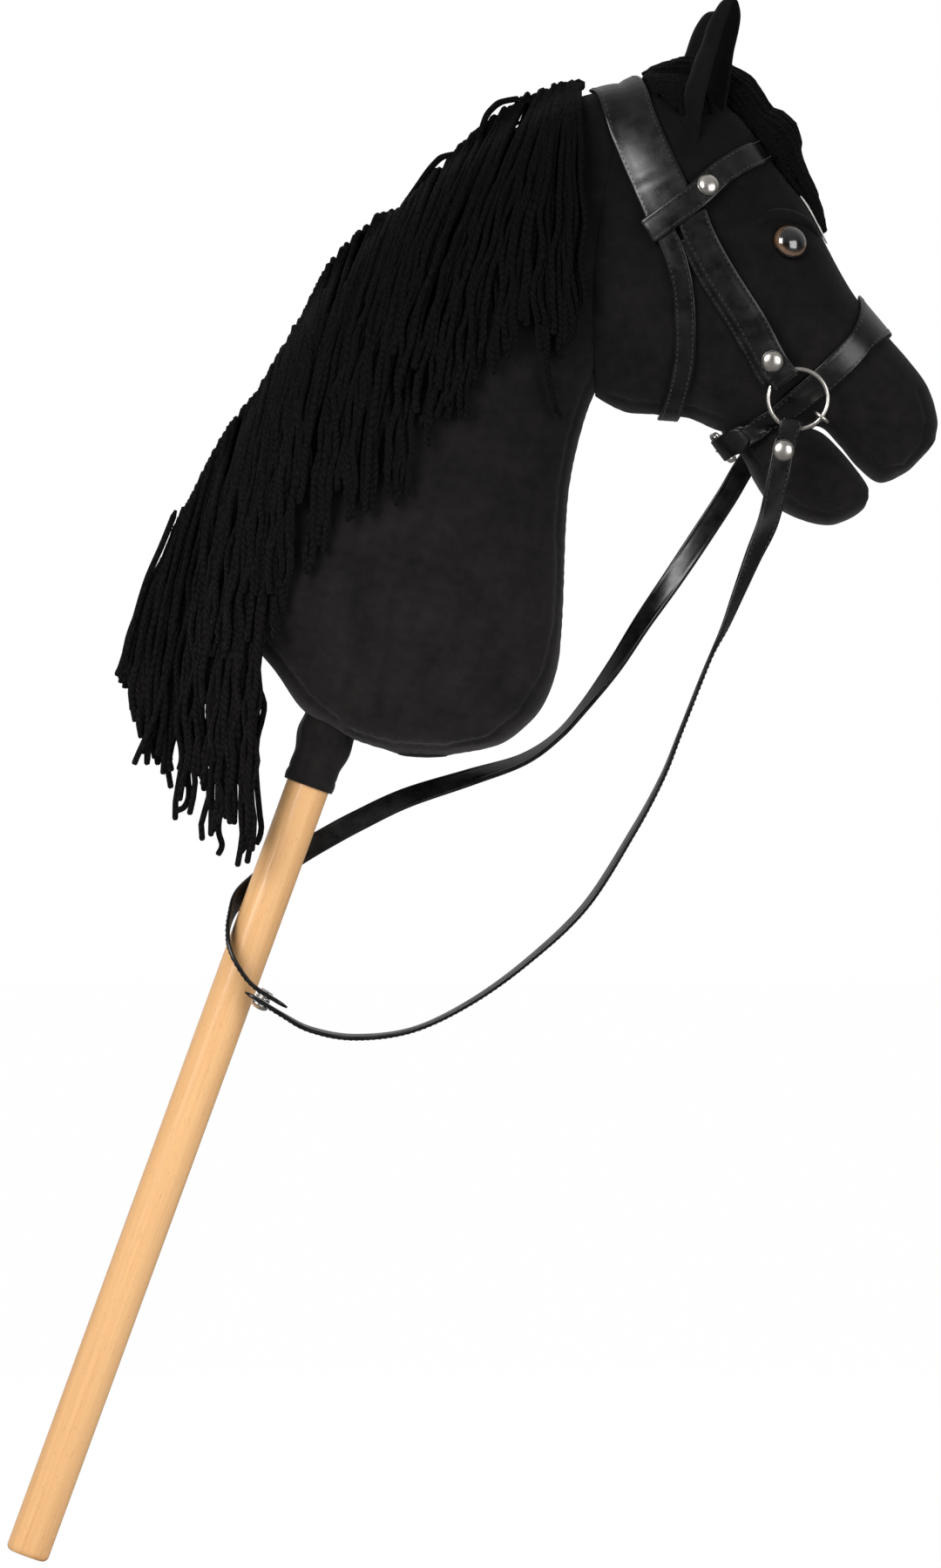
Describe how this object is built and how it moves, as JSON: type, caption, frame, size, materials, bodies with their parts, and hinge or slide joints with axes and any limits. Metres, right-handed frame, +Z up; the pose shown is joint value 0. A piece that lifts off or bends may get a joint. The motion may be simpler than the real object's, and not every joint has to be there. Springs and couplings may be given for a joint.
{
  "type": "hobby horse",
  "caption": "Stick horse toy: stuffed black plush head and neck with yarn mane and strap bridle, reins hanging to a press-stud, on a leaning wooden dowel.",
  "frame": {"origin": "centre of the flat end of the stick's foot", "axes": "+Z up, +X the way the horse faces, -Y its near side; the stick leans 20.1 degrees towards +X so that mane and reins hang plumb, as in the picture"},
  "size_m": [0.534, 0.129, 0.8967],
  "materials": {
    "plush": "short black plush",
    "yarn": "twisted black yarn",
    "leather": "satin black, folded and stitched",
    "white_plush": "short white plush",
    "nickel": "polished nickel plate",
    "amber": "glossy brown safety eye",
    "white_plastic": "moulded washer, inside the head",
    "beech": "lacquered beech"
  },
  "bodies": {
    "horse": {"neck": "plush", "head": "plush", "lower_jaw": "plush", "stick_sleeve": "plush", "near_ear": "plush", "far_ear": "plush", "near_eyelid": "plush", "far_eyelid": "plush", "mane_tape": "plush", "near_lock_1": "yarn", "near_lock_2": "yarn", "near_lock_3": "yarn", "near_lock_4": "yarn", "near_lock_5": "yarn", "far_lock_1": "yarn", "far_lock_2": "yarn", "far_lock_3": "yarn", "far_lock_4": "yarn", "far_lock_5": "yarn", "poll_tuft": "yarn", "forelock": "yarn", "crown_strap": "leather", "throat_lash": "leather", "browband": "leather", "noseband": "leather", "near_cheek_strap": "leather", "far_cheek_strap": "leather", "near_cheek_lining": "leather", "far_cheek_lining": "leather", "forehead_star": "white_plush", "buckle_frame": "nickel", "near_cheek_stud": "nickel", "far_cheek_stud": "nickel", "near_brow_stud": "nickel", "far_brow_stud": "nickel", "near_eye": "amber", "far_eye": "amber", "near_eye_washer": "white_plastic", "far_eye_washer": "white_plastic", "stick": "beech"},
    "near_ring": {"near_ring": "nickel"},
    "far_ring": {"far_ring": "nickel"},
    "bit": {"mouthpiece": "nickel"},
    "reins": {"near_rein": "leather", "far_rein": "leather", "near_rein_stud": "nickel", "far_rein_stud": "nickel", "snap_cap": "nickel", "snap_socket": "nickel", "snap_stud": "nickel", "snap_post": "nickel"},
    "prong": {"buckle_prong": "nickel"}
  },
  "joints": [
    {"name": "near_ring_turn", "type": "hinge", "parent": "horse", "child": "near_ring", "pos_m": [0.442, -0.049, 0.663], "axis": [0, 1, 0], "continuous": true},
    {"name": "far_ring_turn", "type": "hinge", "parent": "horse", "child": "far_ring", "pos_m": [0.442, 0.049, 0.663], "axis": [0, 1, 0], "continuous": true},
    {"name": "mouthpiece_turn", "type": "hinge", "parent": "horse", "child": "bit", "pos_m": [0.4554, 0, 0.65253], "axis": [0, 1, 0], "range_deg": [-10, 10]},
    {"name": "reins_swing", "type": "hinge", "parent": "horse", "child": "reins", "pos_m": [0.442, 0, 0.663], "axis": [0, 1, 0], "range_deg": [0, 5]},
    {"name": "buckle_prong_lift", "type": "hinge", "parent": "horse", "child": "prong", "pos_m": [0.40143, -0.0138, 0.6366], "axis": [-0.5961, -0.09, 0.7978], "range_deg": [0, 35]}
  ]
}
